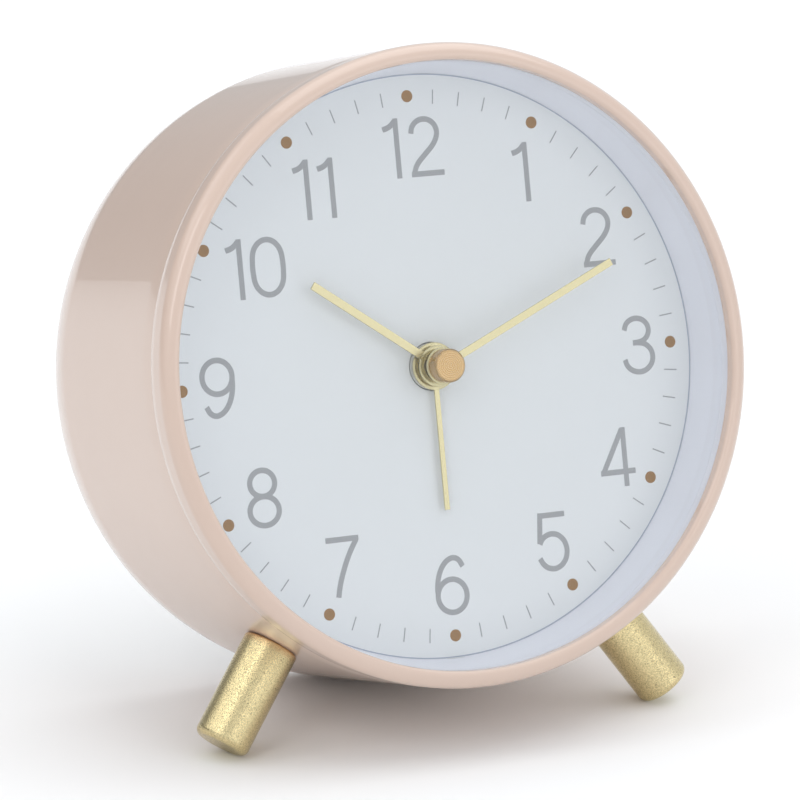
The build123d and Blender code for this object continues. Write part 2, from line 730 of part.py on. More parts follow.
box_front = plate_front - plate_thick
with BuildPart() as movement_housing:
    with BuildSketch(at(box_back)):
        RectangleRounded(2 * box_half, 2 * box_half, box_corner)
    extrude(amount=box_front - box_back)
    with BuildSketch(at(box_back + box_wall)):
        wheels_high = box_half - box_wall - bay_top
        with Locations((0, bay_top + wheels_high / 2)):
            Rectangle(2 * (box_half - box_wall), wheels_high)
    extrude(amount=box_front - box_back - box_wall, mode=Mode.SUBTRACT)
    bay_middle = (bay_low + bay_high) / 2
    with BuildSketch(at(box_back)):
        with Locations((0, bay_middle)):
            Rectangle(2 * bay_half_u, bay_high - bay_low)
    extrude(amount=bay_floor - box_back, mode=Mode.SUBTRACT)
    with BuildSketch(at(bay_floor + bay_wall)):
        with Locations((0, bay_middle)):
            Rectangle(2 * bay_half_u, bay_high - bay_low)
    extrude(amount=box_front - bay_floor - bay_wall, mode=Mode.SUBTRACT)
    with BuildSketch(at(box_back)):
        with Locations(*knob_arbors):
            Circle(arbor_r + 0.1)
        with Locations((switch_at[0], switch_at[1] + switch_travel / 2)):
            Rectangle(switch_stem[0] + switch_play, switch_stem[1] + switch_play + switch_travel)
        with Locations(sounder_at):
            Circle(grille_hole_r)
            with PolarLocations(grille_inner_r, grille_inner_holes):
                Circle(grille_hole_r)
            with PolarLocations(grille_outer_r, grille_outer_holes,
                                start_angle=180 / grille_outer_holes):
                Circle(grille_hole_r)
    extrude(amount=box_wall, mode=Mode.SUBTRACT)
    with BuildSketch(at(box_back + box_wall)):
        with Locations(*board_posts):
            Circle(board_post_r)
    extrude(amount=board_w - box_back - box_wall)
finish(movement_housing, "movement_housing")

with BuildPart() as mounting_screws:
    pan_screws(ears, box_front, head_r=2.0, head_high=1.3, shank_r=0.95, length=2.6)
finish(mounting_screws, "mounting_screws")


inner_plate_low, inner_plate_high, inner_plate_corner = -9.2, 26.2, 1.5
coil_window = (7.0, coil_length + 1.0)


def pierced_plate(w, thick):
    """Plate across the movement, with holes for the arbors and the long screws."""
    with BuildSketch(at(w)) as plate:
        with Locations((0, (inner_plate_low + inner_plate_high) / 2)):
            RectangleRounded(2 * inner_plate_high, inner_plate_high - inner_plate_low,
                             inner_plate_corner)
        with Locations(*pillars):
            Circle(long_hole_r, mode=Mode.SUBTRACT)
        with Locations(centre, *knob_arbors):
            Circle(hour_bore, mode=Mode.SUBTRACT)
        with Locations(*train_pivots):
            Circle(pivot_bore, mode=Mode.SUBTRACT)
    extrude(plate.sketch, amount=thick)


with BuildPart() as middle_plate:
    pierced_plate(middle_w, middle_thick)
    with BuildSketch(at(middle_w)):
        with Locations(coil_at):
            Rectangle(*coil_window)
    extrude(amount=middle_thick, mode=Mode.SUBTRACT)
finish(middle_plate, "middle_plate")

with BuildPart() as train_bridge:
    pierced_plate(bridge_w, bridge_thick)
    bridge_front = bridge_w + bridge_thick
    with BuildSketch(at(bridge_front)):
        with Locations(*pillars):
            Circle(pillar_r)
            Circle(long_hole_r, mode=Mode.SUBTRACT)
    extrude(amount=middle_w - bridge_front)
finish(train_bridge, "train_bridge")

with BuildPart() as movement_screws:
    stack = middle_w + middle_thick - bridge_w
    pan_screws(pillars, bridge_w, head_r=1.9, head_high=1.2, shank_r=long_screw_r,
               length=stack + pillar_hole_deep - 0.4)
finish(movement_screws, "movement_screws")

# ================================================================ electronics and battery
board_at, board_size, board_corner = (-3.0, 12.5), (38.0, 26.0), 1.0
arbor_clearance_r = 2.0
chip_at, chip_r, chip_high = (-14.0, 20.0), 2.4, 1.1
crystal_start, crystal_r, crystal_length, crystal_round = (-19.0, 14.5), 1.0, 6.0, 0.3
solder_gap = 0.05
capacitor_at, capacitor_size, capacitor_corner = (-17.5, 10.5), (3.6, 2.0), 0.3
capacitor_high = 1.4
disc_thick, ceramic_thick, ceramic_share = 0.3, 0.25, 0.7
shoulder = 1.2               # step at each end of the cell's wrap
wrap_end, cell_lip = 1.7, 0.4
stud_r, stud_long = 2.7, 1.3
contact_thick, contact_wide = 0.4, 11.0
contact_low, contact_high = -22.0, -10.0
spring_thick, spring_wide = 0.15, 4.0
spring_foot, spring_bow = 3.8, 0.4
button_r = 2.2
leaf_thick, leaf_wide, leaf_v = 0.2, 2.4, -6.0
door_corner, door_ribs = 0.5, 5
rib_wide, rib_long, rib_high, rib_step = 0.8, 4.0, 0.8, 2.0
rib_from_edge = 3.4

with BuildPart() as circuit_board:
    with BuildSketch(at(board_w)):
        with Locations(board_at):
            RectangleRounded(*board_size, board_corner)
        with Locations(*knob_arbors):
            Circle(arbor_clearance_r, mode=Mode.SUBTRACT)
    extrude(amount=board_thick)
finish(circuit_board, "circuit_board")

with BuildPart() as controller_chip:
    chip_u = chip_at[0]
    with BuildSketch(section.offset(-chip_at[1])):
        with BuildLine():
            dome = ThreePointArc((chip_u - chip_r, board_w), (chip_u, board_w - chip_high),
                                 (chip_u + chip_r, board_w))
            Line(dome @ 1, dome @ 0)
        make_face()
        with Locations((chip_u - chip_r, board_w - chip_high)):
            Rectangle(2 * chip_r, 3 * chip_high, mode=Mode.SUBTRACT)
    revolve(axis=Axis(face.from_local_coords((*chip_at, 0)), face.z_dir))
finish(controller_chip, "controller_chip")

crystal_w = board_w - crystal_r - solder_gap
crystal_plane = Plane(origin=face.from_local_coords((*crystal_start, crystal_w)),
                      x_dir=face.z_dir, z_dir=face.x_dir)
with BuildPart() as quartz_crystal:
    with BuildSketch(crystal_plane):
        Circle(crystal_r)
    extrude(amount=crystal_length)
    fillet(quartz_crystal.edges().filter_by(GeomType.CIRCLE), radius=crystal_round)
finish(quartz_crystal, "quartz_crystal")

with BuildPart() as capacitor:
    with BuildSketch(at(board_w - capacitor_high)):
        with Locations(capacitor_at):
            RectangleRounded(*capacitor_size, capacitor_corner)
    extrude(amount=capacitor_high)
finish(capacitor, "capacitor")

with BuildPart() as sounder_disc:
    disc_layer(sounder_at, box_back + box_wall, sounder_r, disc_thick)
    disc_layer(sounder_at, box_back + box_wall + disc_thick, sounder_r * ceramic_share,
               ceramic_thick)
finish(sounder_disc, "sounder_disc")

cell_plane = Plane(origin=face.from_local_coords((0, cell_v, cell_w)),
                   x_dir=face.z_dir, z_dir=face.x_dir)
cell_axis = Axis(cell_plane.origin, cell_plane.z_dir)
cell_section = Plane(origin=cell_plane.origin, x_dir=face.x_dir, z_dir=face.y_dir)
with BuildPart() as battery_cell:
    with BuildSketch(cell_section):
        half = cell_length / 2
        Polygon((-half, 0), (-half, shoulder - cell_r), (-half + cell_lip, -cell_r),
                (half - wrap_end, -cell_r), (half - stud_long, shoulder - cell_r),
                (half - stud_long, -stud_r), (half, -stud_r), (half, 0), align=None)
    revolve(axis=cell_axis)
finish(battery_cell, "battery_cell")


def strip(points, thick, width, v):
    """Sheet-metal strip: a bent line in u and w, made thick, and wide along v."""
    with BuildSketch(Plane(origin=face.from_local_coords((0, v + width / 2, 0)),
                           x_dir=face.x_dir, z_dir=-face.y_dir)) as side_view:
        with BuildLine():
            bent = Polyline(*points)
            offset(bent, amount=thick, side=Side.RIGHT)
        make_face()
    extrude(side_view.sketch, amount=width)


bay_end = bay_half_u - 0.1
with BuildPart() as battery_spring:
    strip([(-bay_end, contact_low), (-bay_end, contact_high)], contact_thick, contact_wide, cell_v)
    foot = contact_thick - 0.1 - bay_end
    strip([(foot, cell_w - spring_foot), (foot + spring_bow, cell_w), (foot, cell_w + spring_foot)],
          spring_thick, spring_wide, cell_v)
finish(battery_spring, "battery_spring")

with BuildPart() as battery_contact:
    inner_face = bay_end - contact_thick
    strip([(inner_face, contact_low), (inner_face, contact_high)], contact_thick, contact_wide,
          cell_v)
    button_start = cell_length / 2 + solder_gap
    with BuildSketch(cell_plane.offset(button_start)):
        Circle(button_r)
    extrude(amount=bay_end - contact_thick / 2 - button_start)
finish(battery_contact, "battery_contact")

with BuildPart() as alarm_contact_spring:
    strip([(17.0, -9.25), (12.5, -9.25), (6.6, -7.35)], leaf_thick, leaf_wide, leaf_v)
finish(alarm_contact_spring, "alarm_contact_spring")

with BuildPart() as battery_door:
    door_high = bay_high - bay_low - 2 * door_gap
    with BuildSketch(at(box_back)):
        with Locations((0, bay_middle)):
            RectangleRounded(2 * (bay_half_u - door_gap), door_high, door_corner)
    extrude(amount=door_thick)
    with BuildSketch(at(box_back - rib_high)):
        with Locations((0, bay_high - rib_from_edge)):
            with GridLocations(rib_step, 0, door_ribs, 1):
                Rectangle(rib_wide, rib_long)
    extrude(amount=rib_high)
finish(battery_door, "battery_door")

with BuildPart() as alarm_switch:
    slide_gap, keeper, keeper_thick = 0.2, (4.6, 6.0), 0.8
    button, button_corner, button_high = (4.4, 4.8), 0.8, 1.8
    grip_step, grip_wide, grips = 1.2, 0.5, 3
    stem_back = box_back - slide_gap
    with BuildSketch(at(stem_back)):
        with Locations(switch_at):
            Rectangle(*switch_stem)
    extrude(amount=box_wall + 2 * slide_gap)
    with BuildSketch(at(box_back + box_wall + slide_gap)):
        with Locations(switch_at):
            Rectangle(*keeper)
    extrude(amount=keeper_thick)
    with BuildSketch(at(stem_back - button_high)):
        with Locations(switch_at):
            RectangleRounded(*button, button_corner)
    extrude(amount=button_high)
    with BuildSketch(at(stem_back - button_high)):
        with Locations(switch_at):
            with GridLocations(0, grip_step, 1, grips):
                Rectangle(button[0], grip_wide)
    extrude(amount=grip_wide, mode=Mode.SUBTRACT)
finish(alarm_switch, "alarm_switch")

print(f"lean {degrees(lean):.2f} degrees, dial centre at {dial_height:.3f} up, {dial_back:.3f} back")
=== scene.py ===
"""Round bedside alarm clock on two turned legs: what its pieces look like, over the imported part.

Shapes are drawn in the dial's own frame, in millimetres: x to the right across the dial,
y up it, and z out of it towards the reader, with z = 0 on the printed face.
"""

import json
from math import cos, degrees, hypot, pi, radians, sin, tan

import bmesh
import bpy
from bpy.props import FloatProperty, FloatVectorProperty, IntProperty, PointerProperty
from mathutils import Matrix, Vector


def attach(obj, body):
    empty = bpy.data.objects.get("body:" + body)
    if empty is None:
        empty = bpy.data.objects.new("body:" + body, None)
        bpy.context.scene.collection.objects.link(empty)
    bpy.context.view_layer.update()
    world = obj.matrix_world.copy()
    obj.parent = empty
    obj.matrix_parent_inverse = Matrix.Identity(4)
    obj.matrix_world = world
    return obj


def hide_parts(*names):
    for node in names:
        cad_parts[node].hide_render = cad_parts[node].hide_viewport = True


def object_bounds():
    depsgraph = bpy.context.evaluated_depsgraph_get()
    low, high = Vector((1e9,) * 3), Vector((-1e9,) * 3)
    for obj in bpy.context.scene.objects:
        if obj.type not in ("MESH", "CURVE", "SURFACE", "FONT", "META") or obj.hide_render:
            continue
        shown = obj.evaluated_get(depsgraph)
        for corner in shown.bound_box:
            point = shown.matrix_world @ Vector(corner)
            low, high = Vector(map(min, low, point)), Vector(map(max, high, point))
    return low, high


bl_info = {
    "name": "Bedside Alarm Clock",
    "version": (1, 0, 0),
    "blender": (4, 5, 0),
    "location": "3D View > Sidebar > Clock",
    "description": "Builds and finishes the pieces of a round bedside alarm clock",
    "category": "Add Mesh",
}

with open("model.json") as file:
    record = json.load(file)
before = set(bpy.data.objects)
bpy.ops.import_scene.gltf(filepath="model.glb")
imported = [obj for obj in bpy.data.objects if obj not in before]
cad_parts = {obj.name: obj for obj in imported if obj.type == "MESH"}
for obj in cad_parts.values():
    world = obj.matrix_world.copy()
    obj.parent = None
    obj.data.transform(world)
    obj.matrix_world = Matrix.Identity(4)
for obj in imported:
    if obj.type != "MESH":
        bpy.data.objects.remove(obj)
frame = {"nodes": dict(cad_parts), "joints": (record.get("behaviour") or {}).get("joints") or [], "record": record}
CAD_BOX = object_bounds()
MM = 0.001

JOINTS = {joint["name"]: joint for joint in frame["joints"]}
BODY = {node: body for body, nodes in frame["record"]["behaviour"]["bodies"].items()
        for node in nodes}
SLOT = {part["node"]: part["material_slot"] for part in frame["record"]["subparts"]}

OUT = Vector(JOINTS["minute_hand_turn"]["axis"]).normalized()
UP = Vector(JOINTS["alarm_switch_slide"]["axis"]).normalized()
RIGHT = UP.cross(OUT)
DIAL_CENTRE = Vector(JOINTS["minute_hand_turn"]["pos_m"])
DIAL = (Matrix.Translation(DIAL_CENTRE)
        @ Matrix((RIGHT, UP, OUT)).transposed().to_4x4() @ Matrix.Scale(MM, 4))
FROM_DIAL = DIAL.inverted()


# ------------------------------------------------------------------ sizes and colours
def length(name, description, millimetres):
    """A length property, kept in metres and shown in the scene's unit."""
    return FloatProperty(name=name, description=description, default=millimetres * MM,
                         min=0, precision=5, unit="LENGTH", subtype="DISTANCE")


def colour(name, description, red, green, blue):
    """A colour property. Channels are given as they look on a screen, from 0 to 255."""
    return FloatVectorProperty(name=name, description=description, subtype="COLOR", min=0,
                               max=1, default=[screen_to_light(c) for c in (red, green, blue)])


def screen_to_light(channel):
    """A screen channel from 0 to 255 as linear light."""
    share = channel / 255
    return share / 12.92 if share <= 0.04045 else ((share + 0.055) / 1.055) ** 2.4


class ClockSizes(bpy.types.PropertyGroup):
    """Sizes of the details that the looks add."""

    turn_steps: IntProperty(
        name="Steps in a Turn", description="Facets round the drum, its rim and the lens",
        default=288, min=48, max=720)
    small_steps: IntProperty(
        name="Steps in a Small Turn", description="Facets round a leg and the centre cap",
        default=96, min=16, max=360)
    rim_rounding: length("Rim Rounding", "Outer rounding of the rolled front rim", 1.9)
    groove: length("Groove", "How far the groove behind the rim runs on to the rim", 1.7)
    hollow: length("Hollow", "How far the groove behind the rim runs on to the drum", 3.4)
    crown_rounding: length("Crown Rounding", "Radius of the drum's curve towards the back", 18.9)
    edge_rounding: length("Edge Rounding", "Radius of the drum's rear edge", 1.5)
    leg_tip_rounding: length("Leg Tip Rounding", "Rounding of the foot of each leg", 1.0)
    leg_top_bevel: length("Leg Top Bevel", "Bevel where each leg meets the drum", 0.35)
    hand_bevel: length("Hand Bevel", "Polished bevel along the edges of the hands", 0.04)
    moulding_round: length("Moulding Round", "Rounding of the moulded back's edges", 0.3)
    print_height: length("Print Height", "How far the printing stands off the dial", 0.02)
    numeral_height: length("Numeral Height", "Height of the hour numerals", 8.45)
    stroke: length("Stroke", "Width of the numerals' strokes", 0.78)
    dot_radius: length("Dot Radius", "Radius of the hour dots", 0.85)
    dot_ring: length("Dot Ring", "Radius of the circle of hour dots", 38.1)
    tick_length: length("Tick Length", "Length of a minute tick", 2.0)
    tick_width: length("Tick Width", "Width of a minute tick", 0.17)


class ClockColours(bpy.types.PropertyGroup):
    """Colours of the finishes."""

    enamel: colour("Enamel", "Drum and rim", 209, 185, 170)
    dial: colour("Dial", "Printed face", 236, 237, 236)
    ring: colour("Ring", "Plastic ring round the dial", 240, 240, 246)
    numerals: colour("Numerals", "Hour numerals and ticks", 168, 168, 169)
    # Painted shade: this grey-blue line round the dial's edge stands in for the shadow where the ring meets the
    # dial.
    border: colour("Border", "Fine line round the edge of the dial", 172, 178, 194)
    dots: colour("Dots", "Hour dots", 158, 118, 71)
    hands: colour("Hands", "Anodised hands", 212, 200, 156)
    cap: colour("Cap", "Turned centre cap", 197, 163, 114)
    legs: colour("Legs", "Plated legs", 238, 221, 170)
    back: colour("Back", "Moulded back", 226, 226, 224)
    knobs: colour("Knobs", "Setting knobs and switch", 52, 52, 55)


def colours():
    """The scene's colour settings."""
    return bpy.context.scene.clock_colours


def reach(node):
    """Lowest and highest corner of a CAD node in the dial's frame, in millimetres."""
    points = [FROM_DIAL @ vertex.co for vertex in frame["nodes"][node].data.vertices]
    return (Vector(min(p[i] for p in points) for i in range(3)),
            Vector(max(p[i] for p in points) for i in range(3)))


# ------------------------------------------------------------------ finishes
class Wire:
    """A node's output. Arithmetic on it adds Math nodes to its finish."""

    def __init__(self, finish, socket):
        self.finish = finish
        self.socket = socket

    def calculate(self, operation, first, second):
        return self.finish.node("Math", {"operation": operation}, {0: first, 1: second})

    def __add__(self, other):
        return self.calculate("ADD", self, other)

    def __radd__(self, other):
        return self.calculate("ADD", other, self)

    def __sub__(self, other):
        return self.calculate("SUBTRACT", self, other)

    def __rsub__(self, other):
        return self.calculate("SUBTRACT", other, self)

    def __mul__(self, other):
        return self.calculate("MULTIPLY", self, other)

    def __rmul__(self, other):
        return self.calculate("MULTIPLY", other, self)


class Finish:
    """A material and the nodes that make it."""

    def __init__(self, name):
        self.material = bpy.data.materials.new(name)
        self.material.use_nodes = True
        self.tree = self.material.node_tree
        self.tree.nodes.clear()

    def node(self, kind, settings=None, inputs=None, output=0):
        """Add a node: its settings first, then values or links for its sockets."""
        made = self.tree.nodes.new("ShaderNode" + kind)
        for key, value in (settings or {}).items():
            if key == "stops":
                for index, (place, grey) in enumerate(value):
                    ramp = made.color_ramp.elements
                    stop = ramp[index] if index < 2 else ramp.new(place)
                    stop.position = place
                    stop.color = (grey, grey, grey, 1)
            else:
                setattr(made, key, value)
        for key, value in (inputs or {}).items():
            socket = made.inputs[key]
            if isinstance(value, Wire):
                self.tree.links.new(value.socket, socket)
            else:
                socket.default_value = value
        return Wire(self, made.outputs[output]) if len(made.outputs) else None

    def place(self, turned=False):
        """Object coordinates in millimetres, centred on the dial and square to it."""
        coordinates = self.node("TexCoord", output="Object")
        if not turned:
            return self.node("Mapping", None, {"Vector": coordinates, "Scale": [1 / MM] * 3})
        return self.node("Mapping", {"vector_type": "TEXTURE"}, {
            "Vector": coordinates, "Location": DIAL_CENTRE,
            "Rotation": DIAL.to_euler(), "Scale": [MM] * 3})

    def noise(self, scale, detail=2.0, rough=0.5):
        """Cloudy grey with features about 1 / scale millimetres across."""
        return self.node("TexNoise", None, {
            "Vector": self.place(), "Scale": scale, "Detail": detail, "Roughness": rough})

    def ramp(self, value, *stops):
        """Stretch a grey between stops of place and brightness."""
        return self.node("ValToRGB", {"stops": stops}, {"Fac": value})

    def mix(self, share, first, second):
        """Blend two colours."""
        pair = {6: first, 7: second}
        for key, value in pair.items():
            if not isinstance(value, Wire):
                pair[key] = (*value[:3], 1)
        return self.node("Mix", {"data_type": "RGBA"}, {0: share, **pair}, 2)

    def bump(self, height, distance):
        """Relief of that distance in millimetres."""
        return self.node("Bump", None, {"Height": height, "Distance": distance * MM})

    def surface(self, shader):
        """Join the closing shader to the output."""
        self.node("OutputMaterial", None, {"Surface": shader})
        return self.material


FINISHES = {}


def finish_of(name, maker, *arguments):
    """The named material, made when it is first asked for."""
    if name not in FINISHES:
        FINISHES[name] = maker(Finish(name), *arguments)
    return FINISHES[name]


def principled(finish, **inputs):
    """Close a finish with the Principled shader; underscores stand for spaces."""
    named = {key.replace("_", " "): value for key, value in inputs.items()}
    for key, value in named.items():
        if key.endswith("Color") and not isinstance(value, Wire):
            named[key] = (*value[:3], 1)
    return finish.surface(finish.node("BsdfPrincipled", None, named))


def darker(tint, share):
    """A colour scaled in brightness."""
    return [channel * share for channel in tint[:3]]


def enamel(finish):
    """Sprayed stove enamel: a clear gloss over a soft blush, with a trace of orange peel."""
    tint = colours().enamel
    drift = finish.noise(0.05, 3)
    peel = finish.noise(0.9, 2)
    grain = finish.noise(9, 1)
    return principled(
        finish, Base_Color=finish.mix(drift, darker(tint, 0.975), darker(tint, 1.02)),
        Roughness=finish.noise(0.35, 4) * 0.08 + 0.30, IOR=1.5,
        Coat_Weight=0.85, Coat_Roughness=0.035, Coat_IOR=1.5,
        Normal=finish.bump(peel * 0.8 + grain * 0.1, 0.006))


def glass(finish):
    """Clear flat lens: a thin reflection over what is behind it."""
    smear = finish.noise(0.12, 2)
    gloss = finish.node("BsdfGlossy", None, {
        "Color": (1, 1, 1, 1), "Roughness": 0.02,
        "Normal": finish.bump(smear, 0.001)})
    clear = finish.node("BsdfTransparent", None, {"Color": (0.985, 0.992, 1.0, 1)})
    share = finish.node("Fresnel", None, {"IOR": 1.45}) * 0.55
    return finish.surface(finish.node("MixShader", None, {0: share, 1: clear, 2: gloss}))


def moulding(finish, tint, rough, spark=0.004, grain=5.0):
    """Injection-moulded plastic with a fine spark-eroded texture."""
    pits = finish.noise(grain, 3, 0.6)
    drift = finish.noise(0.08, 2)
    return principled(
        finish, Base_Color=finish.mix(drift, darker(tint, 0.97), darker(tint, 1.02)),
        Roughness=pits * 0.14 + (rough - 0.07), IOR=1.5,
        Normal=finish.bump(pits, spark))


def printed(finish, tint, rough=0.5):
    """Screen-printed ink or dial lacquer: matt, very slightly mottled."""
    mottle = finish.noise(3.0, 4, 0.6)
    cloud = finish.noise(0.06, 2)
    return principled(
        finish,
        Base_Color=finish.mix(mottle * 0.5 + cloud * 0.5, darker(tint, 0.985), darker(tint, 1.01)),
        Roughness=mottle * 0.1 + (rough - 0.05), IOR=1.4,
        Normal=finish.bump(finish.noise(14, 2), 0.0008))


def metal(finish, tint, rough, grain=6.0, depth=0.001, deep=0.8):
    """Plain drawn or plated metal with a fine grain."""
    flecks = finish.noise(grain, 3, 0.6)
    return principled(
        finish, Base_Color=finish.mix(flecks, darker(tint, deep), tint),
        Metallic=1.0, Roughness=flecks * 0.14 + (rough - 0.07),
        Normal=finish.bump(flecks, depth))


def leaf_brass(finish):
    """Antique plating on the legs: bright and finely pitted, with coppery wear patches, and a coppery band at the
    top of each leg that is partly wear and partly a painted reflection of the blush drum.
    """
    tint = colours().legs
    pits = finish.ramp(finish.noise(5.0, 2, 0.8), (0.31, 0), (0.42, 1))
    grain = finish.ramp(finish.noise(4.6, 3, 0.8), (0.35, 0), (0.62, 1))
    # The band at each leg's top is partly wear and partly a painted reflection of the blush drum; the noise
    # patches are wear.
    rubbed_and_reflected = finish.node("Attribute", {"attribute_name": "worn"}, output="Fac")
    patches = finish.ramp(finish.noise(1.6, 4, 0.7), (0.30, 0), (0.75, 1))
    worn = rubbed_and_reflected * (patches * 0.6 + 0.45) + patches * 0.12
    base = finish.mix(worn, finish.mix(grain, darker(tint, 0.60), tint), (0.78, 0.50, 0.25))
    return principled(
        finish, Base_Color=finish.mix(pits, darker(tint, 0.25), base),
        Metallic=1.0, Roughness=0.21 - pits * 0.05,
        Normal=finish.bump(grain * 0.6 + pits * 0.4, 0.02))


def turned_brass(finish):
    """Face-turned brass: fine rings round the dial's axis."""
    tint = colours().cap
    rings = finish.node("TexWave", {"wave_type": "RINGS", "rings_direction": "Z"}, {
        "Vector": finish.place(turned=True), "Scale": 1.1, "Distortion": 1.0, "Detail": 3.0,
        "Detail Scale": 2.0})
    return principled(
        finish, Base_Color=finish.mix(rings, darker(tint, 0.80), tint),
        Metallic=1.0, Roughness=rings * 0.08 + 0.20,
        Normal=finish.bump(rings, 0.0012))


def gold_hand(finish):
    """Pale anodised hands, brushed along the blade."""
    tint = colours().hands
    brushed = finish.noise(7.0, 4, 0.6)
    return principled(
        finish, Base_Color=finish.mix(brushed, darker(tint, 0.9), tint),
        Metallic=0.9, Roughness=brushed * 0.08 + 0.22,
        Normal=finish.bump(brushed, 0.0008))


def finish_for(slot):
    """The material of a slot in the record."""
    tints = colours()
    makers = {
        "case_paint": (enamel,),
        "clear_lens": (glass,),
        "white_plastic": (moulding, list(tints.ring), 0.38, 0.002, 8.0),
        "dial_print": (printed, list(tints.dial), 0.55),
        "antique_brass": (leaf_brass,),
        "pale_gold": (gold_hand,),
        "grey_plastic": (moulding, list(tints.back), 0.5, 0.006, 4.0),
        "dark_plastic": (moulding, list(tints.knobs), 0.42, 0.005, 5.0),
        "gear_plastic": (moulding, (0.82, 0.79, 0.70), 0.35, 0.002, 8.0),
        "steel": (metal, (0.62, 0.62, 0.63), 0.3),
        "bright_brass": (turned_brass,),
        "board": (moulding, (0.02, 0.16, 0.06), 0.28, 0.003, 3.0),
        "copper": (metal, (0.78, 0.33, 0.16), 0.32, 14.0, 0.01, 0.5),
        "cell_wrap": (moulding, (0.02, 0.03, 0.05), 0.22, 0.001, 2.0),
    }
    return finish_of(slot, *makers[slot])


# ------------------------------------------------------------------ shapes
def outline(corners, closed=True):
    """A bmesh holding an outline in the x-z plane, with its corners rounded.

    Each corner is a radius from the axis, a height along it, and a rounding. An arc has
    a facet for every 3 degrees, but at most 12 for each millimetre of its radius.
    """
    shape = bmesh.new()
    points = [shape.verts.new((x, 0, z)) for x, z, _ in corners]
    count = len(points)
    for index in range(count if closed else count - 1):
        shape.edges.new((points[index], points[(index + 1) % count]))
    for index, (x, z, rounding) in enumerate(corners):
        if not rounding:
            continue
        before = Vector(corners[index - 1][:2]) - Vector((x, z))
        after = Vector(corners[(index + 1) % count][:2]) - Vector((x, z))
        turn = pi - before.angle(after)
        bmesh.ops.bevel(shape, geom=[points[index]], affect="VERTICES",
                        offset=rounding * tan(turn / 2), profile=0.5, material=-1,
                        segments=max(3, round(min(degrees(turn) / 3, 12 * rounding))))
    return shape


def turned(shape, steps, place=Matrix.Identity(4)):
    """Spin an outline about z, close its seam and poles, and put it in its place."""
    bmesh.ops.spin(shape, geom=shape.verts[:] + shape.edges[:], cent=(0, 0, 0),
                   axis=(0, 0, 1), angle=2 * pi, steps=steps, use_merge=True)
    bmesh.ops.remove_doubles(shape, verts=shape.verts, dist=1e-4)
    bmesh.ops.recalc_face_normals(shape, faces=shape.faces)
    bmesh.ops.transform(shape, matrix=place, verts=shape.verts)
    return shape


def copied(node, rounding):
    """A merged copy of a CAD node with its sharp edges rounded, in the dial's frame."""
    flat, sharp = radians(0.6), radians(30)
    shape = bmesh.new()
    shape.from_mesh(frame["nodes"][node].data)
    bmesh.ops.transform(shape, matrix=FROM_DIAL, verts=shape.verts)
    bmesh.ops.remove_doubles(shape, verts=shape.verts, dist=1e-3)
    bmesh.ops.dissolve_limit(shape, angle_limit=flat, verts=shape.verts,
                             edges=shape.edges, use_dissolve_boundaries=False)
    corners = [edge for edge in shape.edges
               if len(edge.link_faces) == 2 and edge.calc_face_angle(0) > sharp]
    bmesh.ops.bevel(shape, geom=corners, affect="EDGES", offset=rounding, segments=2,
                    profile=0.5, material=-1, clamp_overlap=True, miter_outer="ARC")
    return shape


def finished(shape, name, nodes, material, sharp=35, stands_for=True, smooth=True):
    """Turn a shape in the dial's frame into a piece that rides where its CAD nodes ride."""
    bmesh.ops.transform(shape, matrix=DIAL, verts=shape.verts)
    bmesh.ops.triangulate(shape, faces=[f for f in shape.faces if len(f.verts) > 4])
    mesh = bpy.data.meshes.new(name)
    shape.to_mesh(mesh)
    shape.free()
    if not mesh.polygons:
        raise RuntimeError(f"{name} has no faces")
    mesh.polygons.foreach_set("use_smooth", [smooth] * len(mesh.polygons))
    mesh.set_sharp_from_angle(angle=radians(sharp))
    piece = bpy.data.objects.new(name, mesh)
    bpy.context.scene.collection.objects.link(piece)
    piece.data.materials.append(material)
    even = piece.modifiers.new("even_normals", "WEIGHTED_NORMAL")
    even.keep_sharp = True
    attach(piece, BODY[nodes[0]])
    if stands_for:
        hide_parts(*nodes)
    return piece


def repaint(node):
    """Give a CAD node that keeps its shape the finish of its slot."""
    target = frame["nodes"][node]
    target.data.materials.clear()
    target.data.materials.append(finish_for(SLOT[node]))


def mm(value):
    """A property in metres as millimetres."""
    return value / MM


